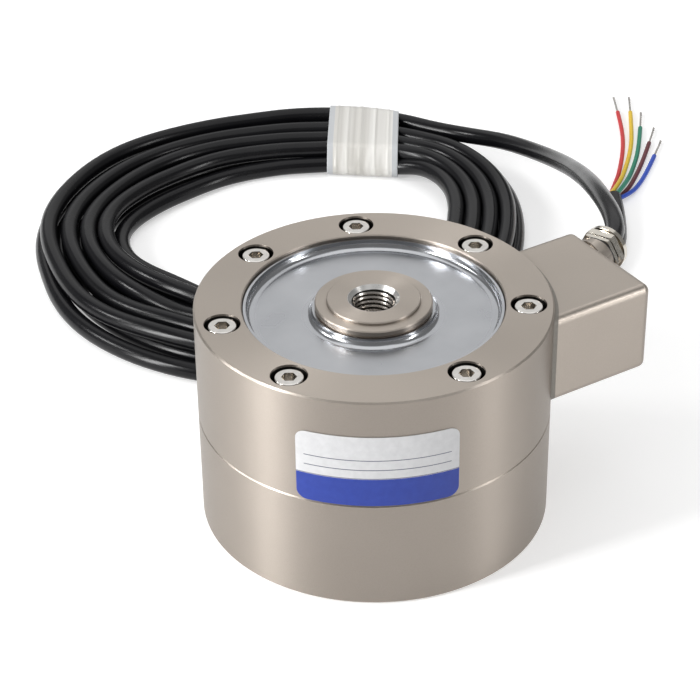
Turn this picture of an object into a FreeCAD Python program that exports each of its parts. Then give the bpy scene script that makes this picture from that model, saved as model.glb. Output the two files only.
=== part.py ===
import FreeCAD, Part
import math
import os

os.makedirs("parts", exist_ok=True)

Vector = FreeCAD.Vector
up = Vector(0, 0, 1)
out = Vector(1, 0, 0)

# Body: a steel ring cell bolted on a steel base, both turned to one diameter
body_diameter = 105.0
base_height = 35.0
cell_height = 35.0
seam_break = 0.35
rim_break = 0.5
foot_break = 0.8
base_wall = 18.5
base_floor = 24.0
spigot_height = 1.5
spigot_clearance = 0.1

# Cell ring, hub and the four gauged webs between them
ring_width = 19.5
rim_width = 14.1
recess_break = 0.3
upper_seat_depth = 4.8
lower_seat_depth = 6.8
hub_radius = 17.2
hub_rise = 0.4
hub_foot = 2.0
pad_radius = 13.8
pad_rise = 0.9
web_count = 4
web_width = 9.0
web_height = 18.0
pocket_radius = 5.0
pocket_depth = 2.0
gauge_length = 6.0
gauge_width = 4.5
gauge_thickness = 0.3

# Load thread M14 x 1.5, in the hub and again through the base
thread_minor_radius = 6.19
thread_mouth_radius = 7.6
thread_depth = 26.0
drill_point = 2.5

# Pressed steel diaphragms that seal the ring above and below
sheet_thickness = 0.8
lip_height = 3.8
lip_gap = 0.35
collar_height = 3.2
roll_radius = 2.2
hub_groove_depth = 0.4
hub_groove_height = 0.5

# Cap screws M5 x 40, set round the rim at the angles of the real cell
screw_inset = 7.5
screw_angles = (14.2, 64.2, 109.3, 162.6, 206.0, 272.2, 324.9)
screw_radius = 2.5
screw_length = 40.0
screw_head_radius = 4.25
screw_head_height = 5.0
screw_hex = 4.0
screw_hex_depth = 2.6
screw_head_round = 0.6
socket_mouth = 0.5
screw_sink = 1.2
counterbore_radius = 5.35
screw_clearance = 0.3
tap_spare = 2.0

# Junction box on the side of the ring, reaching along +X
box_reach = 23.0
box_seat = 5.5
box_width = 39.0
box_offset = -15.0
box_height = 29.0
box_drop = 2.0
box_round = 2.5
box_wall = 3.0
box_end_wall = 6.0
gasket_thickness = 1.2
cover_thickness = 2.0
cover_gap = 0.15
boss_radius = 2.6
boss_height = 9.5
cover_screw_radius = 1.5
cover_screw_head_radius = 2.6
cover_screw_head_height = 1.3
cover_screw_length = 8.0
box_screw_spacing = 12.0
box_screw_rise = 7.0
box_screw_radius = 2.0
box_screw_length = 16.0
box_screw_head_radius = 3.5
box_screw_head_height = 4.0
box_screw_hex = 3.0
port_gap = 0.2
port_rise = 15.0
port_radius = 3.0
grommet_flange_radius = 4.2
grommet_flange = 1.0
grommet_bore = 1.6
board_thickness = 1.6
board_margin = 3.4
board_far_margin = 6.0
board_drop = 8.1
board_gap = 0.1
post_radius = 0.6
post_height = 3.0
gauge_wire_radius = 0.25
gauge_wire_offset = 0.45
gauge_wire_rise = 2.0
gauge_wire_run = 4.5
gauge_wire_inset = 0.8

# Cable gland on a slanted boss of the box's end wall, turned from +X towards +Y
gland_tilt = 25.0
gland_inset = 9.2
gland_drop = 7.0
gland_boss_radius = 6.6
gland_boss_spare = 0.05
gland_thread_radius = 6.0
gland_collar_flats = 13.0
gland_collar = 1.6
gland_washer = 0.5
gland_washer_radius = 6.6
gland_neck = 2.6
nut_flats = 13.4
nut_length = 5.8
nut_gap = 0.3
nut_groove_width = 0.6
nut_groove_depth = 0.4
nut_cap = 2.4
nut_cap_radius = 7.3
nut_bevel = 0.7
seal_radius = 4.6
seal_proud = 0.2

# Cable of five cores, tied in a flat coil on the floor behind the cell
cable_radius = 3.1
cable_tail_in = 7.2
inner_core_run = 3.4
coil_shift = 3.0
coil_away = 96.0
coil_first_angle = -32.5
coil_height = 11.8
coil_round = 3.0
coil_outer_radii = (88, 91, 95, 96, 96, 95, 94, 93, 91, 90, 91.5, 98, 110, 117, 102, 98, 91, 88)
coil_inner_radii = (59.5, 63, 66, 67, 63.5, 61.5, 60.5, 59.5, 58, 57.5, 58, 56, 55, 62, 68, 67, 62, 59.5)
tie_angle = 38.0
tie_heading = 137.5
tie_length = 27.0
tie_thickness = 0.8
lead_straight = 19.0

# Lead and tail from the coil's centre, with heights above the floor, and for the lead's first
# points above the gland
lead_from_gland = (
    (44.5, -130.5, 0.5),
    (57.5, -108.5, -4.5),
)
lead_to_coil = (
    (72.5, -83.5, 45.5),
    (86.5, -55.5, 31),
    (97.5, -24.5, 20),
    (101, 0.5, 14),
    (96, 27.5, 11),
    (78.5, 45.5, 9.5),
)
tail_from_coil = (
    (-19.5, -93),
    (7.5, -100.5),
    (37.5, -102),
    (66, -92),
    (87.5, -72),
    (102.5, -56),
    (116.8, -44.9),
)

# Five insulated cores that fan out on the floor, given from the end of the jacket
core_radius = 0.85
core_ring_radius = 1.9
conductor_radius = 0.42
conductor_length = 13.0
core_routes = {
    "yellow": (128, ((8.2, 7, 3.6), (19.7, 17.9, 0.9), (32.7, 30.7, 0.9), (43.2, 43.9, 0.9), (51.2, 54.9, 0.9))),
    "green": (56, ((9.7, 5.3, 3.6), (21.7, 16, 0.9), (34.7, 28.4, 0.9), (46.2, 42.2, 0.9))),
    "blue": (-16, ((9.5, 1.3, 1.6), (17.7, 6.3, 0.9), (27.2, 13.3, 0.9), (36.1, 20.7, 0.9))),
    "brown": (-88, ((9.2, 3.7, 1.3), (18.2, 10.3, 0.9), (30.5, 20.4, 0.9), (41.1, 30.2, 0.9))),
    "red": (200, ((7.2, 8.8, 1.9), (15.5, 17.7, 0.9), (28.7, 32.9, 0.9), (39.2, 45.9, 0.9), (47, 57.7, 0.9))),
}

# Adhesive label wrapped on the front of the ring
label_angle = -121.5
label_arc = 51.4
label_height = 23.2
label_rise = 0.5
label_thickness = 0.2
label_glue = 0.08
label_corner = 3.0

# Places worked out from the sizes above
body_radius = body_diameter / 2
base_cavity_radius = body_radius - base_wall
ring_bore_radius = body_radius - ring_width
recess_radius = body_radius - rim_width
screw_circle_radius = body_radius - screw_inset
rim = base_height + cell_height
upper_seat = rim - upper_seat_depth
lower_seat = base_height + lower_seat_depth
cell_middle = (upper_seat + lower_seat) / 2
hub_top = rim + hub_rise
pad_top = hub_top + pad_rise
hub_bottom = base_height + hub_foot
screw_seat = rim - screw_sink - screw_head_height
box_top = rim - box_drop
box_bottom = box_top - box_height
box_end = body_radius + box_reach
box_inner_face = body_radius + box_seat
box_side = box_offset - box_width / 2
saddle_radius = body_radius + gasket_thickness
cavity_end = box_end - box_end_wall
cavity_side = box_side + box_wall
cavity_far_side = box_side + box_width - box_wall
cavity_top = box_top - box_wall
boss_seat = box_bottom + cover_thickness
boss_top = boss_seat + boss_height
box_screw_sites = [(box_offset + side * box_screw_spacing / 2, box_bottom + box_screw_rise) for side in (-1, 1)]
board_face = box_inner_face + board_thickness
post_end = board_face + post_height
gland_seat = Vector(box_end, box_offset + box_width / 2 - gland_inset, box_top - gland_drop)
gland_heading = Vector(math.cos(math.radians(gland_tilt)), math.sin(math.radians(gland_tilt)), 0)
jacket_inner_end = gland_seat - gland_heading * cable_tail_in
post_y = (jacket_inner_end - gland_heading * inner_core_run).y
port_site = (post_y - board_margin - grommet_flange_radius - port_gap, box_bottom + port_rise)
coil_centre = Vector(body_radius + coil_shift, body_radius + coil_away, 0)


def cylinder(radius, z0, z1, x=0.0, y=0.0):
    return Part.makeCylinder(radius, z1 - z0, Vector(x, y, z0), up)


def rod(radius, x0, x1, y, z):
    return Part.makeCylinder(radius, x1 - x0, Vector(x0, y, z), out)


def block(x0, x1, y0, y1, z0, z1):
    return Part.makeBox(x1 - x0, y1 - y0, z1 - z0, Vector(x0, y0, z0))


def turned(profile):
    """Solid of revolution about Z from (radius, z) corners."""
    corners = [Vector(r, 0, z) for r, z in profile]
    face = Part.Face(Part.makePolygon(corners + corners[:1]))
    return face.revolve(Vector(0, 0, 0), up, 360)


def hexagon(flats, base, axis, length):
    """Hexagonal prism with a corner-first turn about its axis."""
    side = axis.cross(up) if axis.cross(up).Length > 0.1 else out
    side.normalize()
    other = axis.cross(side)
    corner = flats / 2 / math.cos(math.radians(30))
    points = []
    for step in range(7):
        turn = math.radians(60 * step)
        points.append(base + side * (corner * math.cos(turn)) + other * (corner * math.sin(turn)))
    return Part.Face(Part.makePolygon(points)).extrude(axis * length)


def polar(radius, degrees, z=0.0):
    return Vector(radius * math.cos(math.radians(degrees)), radius * math.sin(math.radians(degrees)), z)


def export(shape, node):
    shape.exportStep("parts/%s.step" % node)


def group(solids):
    return Part.makeCompound(list(solids))


def spread_round(shape, angles, radius):
    """Copies of a shape made on the axis, moved to each angle of a circle."""
    copies = []
    for degrees in angles:
        copy = shape.copy()
        copy.translate(polar(radius, degrees))
        copies.append(copy)
    return copies


# Base: a cup with the load thread through its floor and a spigot that centres the ring
def make_base():
    spigot_radius = recess_radius - spigot_clearance
    mouth = thread_mouth_radius - thread_minor_radius
    base = turned([
        (thread_minor_radius, 0),
        (body_radius - foot_break, 0),
        (body_radius, foot_break),
        (body_radius, base_height - seam_break),
        (body_radius - seam_break, base_height),
        (spigot_radius, base_height),
        (spigot_radius, base_height + spigot_height),
        (base_cavity_radius, base_height + spigot_height),
        (base_cavity_radius, base_floor),
        (thread_mouth_radius, base_floor),
        (thread_minor_radius, base_floor - mouth),
    ])
    tap = cylinder(screw_radius, screw_seat - screw_length - tap_spare, base_height + 1)
    return base.cut(group(spread_round(tap, screw_angles, screw_circle_radius)))


# Web: one of the radial beams, with a gauge pocket milled in each side
def web_sites():
    reach = (hub_radius + ring_bore_radius) / 2
    for index in range(web_count):
        degrees = (index + 0.5) * 360 / web_count
        for side in (-1, 1):
            normal = polar(1, degrees + 90 * side)
            yield degrees, normal, polar(reach, degrees, cell_middle)


def make_spring_element():
    ring = turned([
        (body_radius - seam_break, base_height),
        (body_radius, base_height + seam_break),
        (body_radius, rim - rim_break),
        (body_radius - rim_break, rim),
        (recess_radius + recess_break, rim),
        (recess_radius, rim - recess_break),
        (recess_radius, upper_seat),
        (ring_bore_radius, upper_seat),
        (ring_bore_radius, lower_seat),
        (recess_radius, lower_seat),
        (recess_radius, base_height),
    ])
    groove = upper_seat + collar_height
    mouth = thread_mouth_radius - thread_minor_radius
    hub = turned([
        (0, hub_bottom),
        (hub_radius - recess_break, hub_bottom),
        (hub_radius, hub_bottom + recess_break),
        (hub_radius, groove),
        (hub_radius - hub_groove_depth, groove),
        (hub_radius - hub_groove_depth, groove + hub_groove_height),
        (hub_radius, groove + hub_groove_height),
        (hub_radius, hub_top - recess_break),
        (hub_radius - recess_break, hub_top),
        (pad_radius, hub_top),
        (pad_radius, pad_top - recess_break),
        (pad_radius - recess_break, pad_top),
        (thread_mouth_radius, pad_top),
        (thread_minor_radius, pad_top - mouth),
        (thread_minor_radius, pad_top - thread_depth),
        (0, pad_top - thread_depth - drill_point),
    ])
    webs = []
    for index in range(web_count // 2):
        beam = block(-ring_bore_radius - 1, ring_bore_radius + 1, -web_width / 2, web_width / 2,
                     cell_middle - web_height / 2, cell_middle + web_height / 2)
        beam.rotate(Vector(0, 0, 0), up, (index + 0.5) * 360 / web_count)
        webs.append(beam)
    cross = webs[0].fuse(webs[1:]).cut(cylinder(hub_radius - 1, 0, rim))
    body = ring.fuse([hub, cross]).removeSplitter()
    cuts = []
    for degrees, normal, centre in web_sites():
        floor = centre + normal * (web_width / 2 - pocket_depth)
        cuts.append(Part.makeCylinder(pocket_radius, pocket_depth + 1, floor, normal))
    for centre in [polar(screw_circle_radius, degrees) for degrees in screw_angles]:
        cuts.append(cylinder(screw_radius + screw_clearance, base_height - 1, rim, centre.x, centre.y))
        cuts.append(cylinder(counterbore_radius, screw_seat, rim + 1, centre.x, centre.y))
    for y, z in box_screw_sites:
        cuts.append(rod(box_screw_radius, box_inner_face - box_screw_length - 1, body_radius + 1, y, z))
    cuts.append(rod(port_radius, 0, body_radius + 1, *port_site).cut(cylinder(ring_bore_radius - 1, 0, rim)))
    return body.cut(group(cuts))


# Diaphragm: a pressed dish with a lip at the ring and a collar at the hub
def make_diaphragm():
    lip_radius = recess_radius - lip_gap
    top = sheet_thickness
    inner_roll = roll_radius + sheet_thickness
    flat_from = hub_radius + inner_roll
    flat_to = lip_radius - inner_roll
    collar_foot = Vector(hub_radius, 0, inner_roll)
    lip_foot = Vector(lip_radius, 0, inner_roll)
    bend = math.cos(math.radians(45))

    def arc(centre_r, centre_z, radius, start, end):
        middle = math.radians((start + end) / 2)
        points = []
        for turn in (math.radians(start), middle, math.radians(end)):
            points.append(Vector(centre_r + radius * math.cos(turn), 0, centre_z + radius * math.sin(turn)))
        return Part.Arc(*points).toShape()

    def line(a, b):
        return Part.LineSegment(a, b).toShape()

    edges = [
        line(Vector(hub_radius, 0, collar_height), collar_foot),
        arc(flat_from, inner_roll, inner_roll, 180, 270),
        line(Vector(flat_from, 0, 0), Vector(flat_to, 0, 0)),
        arc(flat_to, inner_roll, inner_roll, 270, 360),
        line(lip_foot, Vector(lip_radius, 0, lip_height)),
        line(Vector(lip_radius, 0, lip_height), Vector(lip_radius - sheet_thickness, 0, lip_height)),
        line(Vector(lip_radius - sheet_thickness, 0, lip_height), Vector(lip_radius - sheet_thickness, 0, inner_roll)),
        arc(flat_to, inner_roll, roll_radius, 360, 270),
        line(Vector(flat_to, 0, top), Vector(flat_from, 0, top)),
        arc(flat_from, inner_roll, roll_radius, 270, 180),
        line(Vector(hub_radius + sheet_thickness, 0, inner_roll), Vector(hub_radius + sheet_thickness, 0, collar_height)),
        line(Vector(hub_radius + sheet_thickness, 0, collar_height), Vector(hub_radius, 0, collar_height)),
    ]
    return Part.Face(Part.Wire(edges)).revolve(Vector(0, 0, 0), up, 360)


def make_gauges():
    solids = []
    for degrees, normal, centre in web_sites():
        gauge = block(-gauge_length / 2, gauge_length / 2, 0, gauge_thickness, -gauge_width / 2, gauge_width / 2)
        gauge.rotate(Vector(0, 0, 0), up, math.degrees(math.atan2(normal.y, normal.x)) - 90)
        gauge.translate(centre + normal * (web_width / 2 - pocket_depth))
        solids.append(gauge)
    return solids


# Cap screws of the body and of the box, with sunk hexagon sockets
def cap_screw(radius, length, head_radius, head_height, flats):
    head = Part.makeCylinder(head_radius, head_height)
    head = head.makeFillet(screw_head_round, [edge for edge in head.Edges if edge.CenterOfMass.z > head_height - 0.01
                                              and edge.Length > head_radius * 5])
    screw = head.fuse(Part.makeCylinder(radius, length, Vector(0, 0, -length), up))
    depth = screw_hex_depth * flats / screw_hex
    corner = flats / 2 / math.cos(math.radians(30))
    mouth = Part.makeCone(corner - socket_mouth, corner, socket_mouth, Vector(0, 0, head_height - socket_mouth), up)
    return screw.cut(mouth.fuse(hexagon(flats, Vector(0, 0, head_height - depth), up, depth + 1)))


def make_body_screws():
    screw = cap_screw(screw_radius, screw_length, screw_head_radius, screw_head_height, screw_hex)
    screw.translate(Vector(0, 0, screw_seat))
    return spread_round(screw, screw_angles, screw_circle_radius)


def make_box_screws():
    solids = []
    for y, z in box_screw_sites:
        screw = cap_screw(box_screw_radius, box_screw_length, box_screw_head_radius, box_screw_head_height,
                          box_screw_hex)
        screw.rotate(Vector(0, 0, 0), Vector(0, 1, 0), 90)
        screw.translate(Vector(box_inner_face, y, z))
        solids.append(screw)
    return solids


# Junction box: a rounded block hollowed from below and fitted to the round ring
def box_block():
    whole = block(0, box_end, box_side, box_side + box_width, box_bottom, box_top)
    outer_edges = [edge for edge in whole.Edges if edge.CenterOfMass.x > 1]
    return whole.makeFillet(box_round, outer_edges)


def boss_sites():
    inset = boss_radius
    for x in (box_inner_face + inset, cavity_end - inset):
        for y in (cavity_side + inset, cavity_far_side - inset):
            yield x, y


def box_holes(radius_margin):
    holes = [rod(box_screw_radius + radius_margin, 0, box_inner_face + 1, y, z) for y, z in box_screw_sites]
    holes.append(rod(port_radius, 0, box_inner_face + 1, *port_site))
    return holes


def make_junction_box():
    shell = box_block().cut(cylinder(saddle_radius, 0, rim))
    shell = shell.cut(block(box_inner_face, cavity_end, cavity_side, cavity_far_side, box_bottom - 1, cavity_top))
    bosses = [cylinder(boss_radius, boss_seat, boss_top, x, y) for x, y in boss_sites()]
    corners = []
    for x, y in boss_sites():
        wall_x = box_inner_face - 0.5 if x < (box_inner_face + cavity_end) / 2 else cavity_end + 0.5
        wall_y = cavity_side - 0.5 if y < box_side + box_width / 2 else cavity_far_side + 0.5
        corners.append(block(min(x, wall_x), max(x, wall_x), min(y, wall_y), max(y, wall_y), boss_seat, boss_top))
    shell = shell.fuse(bosses + corners).removeSplitter()
    tap = [cylinder(cover_screw_radius, boss_seat - 1, boss_seat + cover_screw_length, x, y)
           for x, y in boss_sites()]
    slant = gland_rod(gland_boss_radius, -box_end_wall, gland_foot).cut(
        block(0, box_end - gland_boss_spare, box_side, body_radius, box_bottom, box_top + gland_drop))
    shell = shell.fuse(slant).removeSplitter()
    gland_hole = gland_rod(gland_thread_radius, -gland_inside, gland_foot + 1)
    return shell.cut(group(tap + box_holes(screw_clearance) + [gland_hole]))


def make_gasket():
    band = cylinder(saddle_radius, box_bottom, box_top).cut(cylinder(body_radius, 0, rim))
    return box_block().common(band).cut(group(box_holes(screw_clearance)))


def make_cover():
    plate = block(box_inner_face + cover_gap, cavity_end - cover_gap, cavity_side + cover_gap,
                  cavity_far_side - cover_gap, box_bottom, boss_seat)
    for x, y in boss_sites():
        sink = Part.makeCone(cover_screw_head_radius, cover_screw_radius, cover_screw_head_height,
                             Vector(x, y, box_bottom), up)
        plate = plate.cut(sink.fuse(cylinder(cover_screw_radius, box_bottom, boss_seat + 1, x, y)))
    return plate


def make_cover_screws():
    solids = []
    for x, y in boss_sites():
        head = Part.makeCone(cover_screw_head_radius, cover_screw_radius, cover_screw_head_height,
                             Vector(x, y, box_bottom), up)
        shank = cylinder(cover_screw_radius, box_bottom + 0.5, box_bottom + cover_screw_length, x, y)
        slot = hexagon(cover_screw_radius * 1.3, Vector(x, y, box_bottom - 1), up, 2)
        solids.append(head.fuse(shank).removeSplitter().cut(slot))
    return solids


def make_grommet():
    y, z = port_site
    inner = box_inner_face
    bush = rod(port_radius, ring_bore_radius, inner, y, z)
    flange = rod(grommet_flange_radius, inner, inner + grommet_flange, y, z)
    return bush.fuse(flange).removeSplitter().cut(rod(grommet_bore, 0, inner + 5, y, z))


# Terminals: one post for each core, in the ring that the cores make in the cable
def make_terminal_board():
    return block(box_inner_face, board_face, post_y - board_margin, post_y + board_far_margin,
                 gland_seat.z - board_drop, cavity_top - board_gap)


def post_sites():
    for index in range(len(core_routes)):
        spot = polar(core_ring_radius, 90 + index * 360 / len(core_routes))
        yield spot.x, spot.y


def make_terminal_posts():
    return [rod(post_radius, board_face, post_end, post_y + y, gland_seat.z + z) for y, z in post_sites()]


def make_inner_cores():
    """Cores from the posts to the jacket's end, bent once to the slant of the gland."""
    cores = []
    side = up.cross(gland_heading)
    for y, z in post_sites():
        finish = jacket_inner_end + side * y + up * z
        start = Vector(post_end, post_y + y, finish.z)
        corner = finish - gland_heading * ((finish.y - start.y) / gland_heading.y)
        cores.append(tube([start, corner, finish], core_radius, "inner_core"))
    return cores


def make_gauge_wires(gauges):
    """Four wires from the last web's gauge that faces the box, through the grommet, to the board."""
    wires = []
    y, z = port_site
    degrees, normal, centre = list(web_sites())[-1]
    face = web_width / 2 - pocket_depth + gauge_thickness
    along = polar(1, degrees)
    middle = (board_face + jacket_inner_end.x) / 2
    end_y = post_y - board_margin + gauge_wire_inset
    for side in (-1, 1):
        for rise in (-1, 1):
            shift = gauge_wire_offset * side
            start = centre + normal * face - along * shift
            start.z = z + gauge_wire_offset * rise
            bend = start + normal * gauge_wire_rise
            entry = Vector(bend.x + gauge_wire_run, y + shift, start.z)
            turn = Vector(middle - shift, entry.y, start.z)
            back = Vector(turn.x, end_y - shift, start.z)
            finish = Vector(board_face, back.y, start.z)
            wire = tube([start, bend, entry, turn, back, finish], gauge_wire_radius, "gauge_wire")
            wires.append(wire.cut(gauges))
    return wires


# Cable gland: threaded body, washer, rubber seal and grooved hexagon nut, measured along its own
# axis from the outer face of the box
gland_foot = gland_boss_radius * math.tan(math.radians(gland_tilt)) + gland_boss_spare
gland_collar_start = gland_foot + gland_washer
gland_collar_end = gland_collar_start + gland_collar
nut_start = gland_collar_end + nut_gap
nut_end = nut_start + nut_length
neck_end = gland_collar_end + gland_neck
gland_inside = 2 * box_end_wall


def on_gland(shape):
    """A shape made along +X from the origin, put on the gland's axis."""
    shape.rotate(Vector(0, 0, 0), up, gland_tilt)
    shape.translate(gland_seat)
    return shape


def gland_rod(radius, start, end):
    return on_gland(rod(radius, start, end, 0, 0))


def gland_hexagon(flats, start, end):
    return on_gland(hexagon(flats, Vector(start, 0, 0), out, end - start))


def along_gland(profile):
    """Turned shape on the gland's axis from (radius, distance) corners."""
    shape = turned(profile)
    shape.rotate(Vector(0, 0, 0), Vector(0, 1, 0), 90)
    return on_gland(shape)


def make_gland_body():
    corner = gland_collar_flats / 2 / math.cos(math.radians(30))
    collar = gland_hexagon(gland_collar_flats, gland_collar_start, gland_collar_end)
    collar = collar.common(along_gland([
        (0, gland_collar_start),
        (corner, gland_collar_start),
        (corner, gland_collar_end - nut_bevel / 2),
        (corner - nut_bevel, gland_collar_end),
        (0, gland_collar_end),
    ]))
    thread = gland_rod(gland_thread_radius, -gland_inside, gland_collar_start + gland_collar / 2)
    thread = thread.cut(block(0, cavity_end, box_side, body_radius, box_bottom, box_top))
    body = collar.fuse([thread, gland_rod(gland_thread_radius, gland_collar_end - gland_collar / 2, neck_end)])
    seal_room = gland_rod(seal_radius, gland_collar_end, neck_end + 1)
    bore = gland_rod(cable_radius, -gland_inside - 1, neck_end + 1)
    return body.removeSplitter().cut(bore).cut(seal_room)


def make_gland_washer():
    return gland_rod(gland_washer_radius, gland_foot, gland_collar_start).cut(
        gland_rod(gland_thread_radius, gland_foot - 1, gland_collar_start + 1))


def make_gland_seal():
    return gland_rod(seal_radius, gland_collar_end, nut_end + seal_proud).cut(
        gland_rod(cable_radius, gland_collar_end - 1, nut_end + 2))


def make_gland_nut():
    corner = nut_flats / 2 / math.cos(math.radians(30))
    cap_start = nut_end - nut_cap
    groove_radius = nut_flats / 2 - nut_groove_depth
    groove_start = cap_start - nut_groove_width
    skirt = gland_hexagon(nut_flats, nut_start, groove_start).common(along_gland([
        (0, nut_start),
        (corner - nut_bevel, nut_start),
        (corner, nut_start + nut_bevel / 2),
        (corner, groove_start - nut_bevel / 2),
        (corner - nut_bevel, groove_start),
        (0, groove_start),
    ]))
    cap = along_gland([
        (0, groove_start - nut_gap),
        (groove_radius, groove_start - nut_gap),
        (groove_radius, cap_start),
        (nut_cap_radius, cap_start),
        (nut_cap_radius, nut_end - nut_bevel),
        (nut_cap_radius - nut_bevel, nut_end),
        (0, nut_end),
    ])
    nut = skirt.fuse(cap).cut(gland_rod(gland_thread_radius, nut_start - 1, neck_end + nut_gap))
    return nut.cut(gland_rod(seal_radius, nut_start, nut_end + 1))


# Cords: straight runs joined by tangent arcs, each arc as large as its runs allow
def rounded_route(points, name):
    edges = []
    length = 0.0
    radii = []
    start = points[0]
    for index in range(1, len(points) - 1):
        before = points[index] - points[index - 1]
        after = points[index + 1] - points[index]
        turn = before.getAngle(after)
        reach = 0.45 * min(before.Length, after.Length)
        radius = reach / math.tan(turn / 2)
        arc_start = points[index] - before.normalize() * reach
        arc_end = points[index] + after.normalize() * reach
        inward = (after - before).normalize()
        middle = points[index] + inward * (radius / math.cos(turn / 2) - radius)
        edges.append(Part.LineSegment(start, arc_start).toShape())
        edges.append(Part.Arc(arc_start, middle, arc_end).toShape())
        radii.append(round(radius, 1))
        length += edges[-1].Length + edges[-2].Length
        start = arc_end
    edges.append(Part.LineSegment(start, points[-1]).toShape())
    length += edges[-1].Length
    print(name, "length", round(length, 1), "radii", radii)
    return Part.Wire(edges), length


def tube(points, radius, name):
    path, length = rounded_route(points, name)
    heading = points[1] - points[0]
    section = Part.Wire(Part.Circle(points[0], heading, radius).toShape())
    solid = path.makePipeShell([section], True, False)
    expected = math.pi * radius ** 2 * length
    print(name, "volume over section times length", round(solid.Volume / expected, 4))
    return solid


def coil_outline(radii, grow, z):
    points = []
    for index, radius in enumerate(radii):
        points.append(coil_centre + polar(radius + grow, coil_first_angle + index * 360 / len(radii), z))
    curve = Part.BSplineCurve()
    curve.interpolate(Points=points, PeriodicFlag=True)
    return Part.Face(Part.Wire(curve.toShape()))


def coil_form(grow=0.0):
    height = coil_height + grow
    outer = coil_outline(coil_outer_radii, grow, 0).extrude(Vector(0, 0, height))
    inner = coil_outline(coil_inner_radii, -grow, 0).extrude(Vector(0, 0, height))
    form = outer.cut(inner)
    top_edges = [edge for edge in form.Edges if edge.BoundBox.ZMin > height - 0.01]
    return form.makeFillet(coil_round, top_edges)


def tie_slab(thickness_z):
    centre = coil_centre + polar((coil_outer_radii[4] + coil_inner_radii[4]) / 2, tie_angle)
    reach = coil_outer_radii[4] - coil_inner_radii[4]
    slab = block(-tie_length / 2, tie_length / 2, -reach, reach, -1, thickness_z)
    slab.rotate(Vector(0, 0, 0), up, tie_heading)
    slab.translate(centre)
    return slab


def make_coil():
    return coil_form().cut(tie_slab(tie_thickness))


def make_tie(coil):
    return coil_form(tie_thickness).common(tie_slab(coil_height * 2)).cut(coil)


def largest_solid(shape):
    return max(shape.Solids, key=lambda solid: solid.Volume)


# Routes of the cable, as points
def lead_points():
    points = [jacket_inner_end, gland_seat + gland_heading * lead_straight]
    for x, y, rise in lead_from_gland:
        points.append(coil_centre + Vector(x, y, gland_seat.z + rise))
    for spot in lead_to_coil:
        points.append(coil_centre + Vector(*spot))
    return points


def tail_points():
    return [coil_centre + Vector(x, y, cable_radius) for x, y in tail_from_coil]


# Cores and their bare conductors, from the jacket's end
def jacket_end():
    before, last = tail_points()[-2:]
    return last, (last - before).normalize()


def core_start(degrees):
    end, heading = jacket_end()
    right = heading.cross(up)
    offset = polar(core_ring_radius, degrees)
    return end + right * offset.x + up * offset.y


def core_points(colour):
    degrees, route = core_routes[colour]
    foot = Vector(jacket_end()[0].x, jacket_end()[0].y, 0)
    return [core_start(degrees)] + [foot + Vector(*point) for point in route]


def make_core(colour):
    core = tube(core_points(colour), core_radius, "core_" + colour)
    end, heading = jacket_end()
    jacket = Part.makeCylinder(cable_radius, cable_radius, end - heading * cable_radius, heading)
    return core.cut(jacket)


def make_conductor(colour):
    before, end = core_points(colour)[-2:]
    return Part.makeCylinder(conductor_radius, conductor_length, end, (end - before).normalize())


def make_label():
    under = body_radius + label_glue
    skin = cylinder(under + label_thickness, base_height + label_rise, rim).cut(cylinder(under, 0, rim))
    half = body_radius * math.sin(math.radians(label_arc / 2))
    bottom = base_height + label_rise
    stamp = block(0, body_radius * 2, -half, half, bottom, bottom + label_height)
    along = [edge for edge in stamp.Edges if abs(edge.CenterOfMass.x - body_radius) < 0.01]
    stamp = stamp.makeFillet(label_corner, along)
    stamp.rotate(Vector(0, 0, 0), up, label_angle)
    return skin.common(stamp)


diaphragm = make_diaphragm()
upper_diaphragm = diaphragm.copy()
upper_diaphragm.translate(Vector(0, 0, upper_seat))
lower_diaphragm = diaphragm.copy()
lower_diaphragm.rotate(Vector(0, 0, 0), out, 180)
lower_diaphragm.translate(Vector(0, 0, lower_seat))

export(make_base(), "mounting_base")
export(make_spring_element(), "spring_element")
export(upper_diaphragm, "upper_diaphragm")
export(lower_diaphragm, "lower_diaphragm")
export(group(make_body_screws()), "body_screws")
gauges = group(make_gauges())
export(gauges, "strain_gauges")
export(make_label(), "rating_label")

export(make_junction_box(), "junction_box")
export(make_gasket(), "box_gasket")
export(group(make_box_screws()), "box_screws")
export(make_cover(), "box_cover")
export(group(make_cover_screws()), "cover_screws")
export(make_grommet(), "wire_grommet")
export(make_terminal_board(), "terminal_board")
export(group(make_terminal_posts()), "terminal_posts")
export(group(make_inner_cores()), "inner_cores")
export(group(make_gauge_wires(gauges)), "gauge_wires")

export(make_gland_body(), "gland_body")
export(make_gland_washer(), "gland_washer")
export(make_gland_seal(), "gland_seal")
export(make_gland_nut(), "gland_nut")

coil = make_coil()
lead = tube(lead_points(), cable_radius, "cable_lead")
tail = tube(tail_points(), cable_radius, "cable_tail")
export(coil, "cable_coil")
export(make_tie(coil), "coil_tie")
export(largest_solid(lead.cut(coil)), "cable_lead")
export(largest_solid(tail.cut(coil)), "cable_tail")
for colour in core_routes:
    export(make_core(colour), "core_" + colour)
    export(make_conductor(colour), "conductor_" + colour)
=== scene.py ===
import math

import bmesh
import bpy
from mathutils import Matrix, Vector, noise


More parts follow.
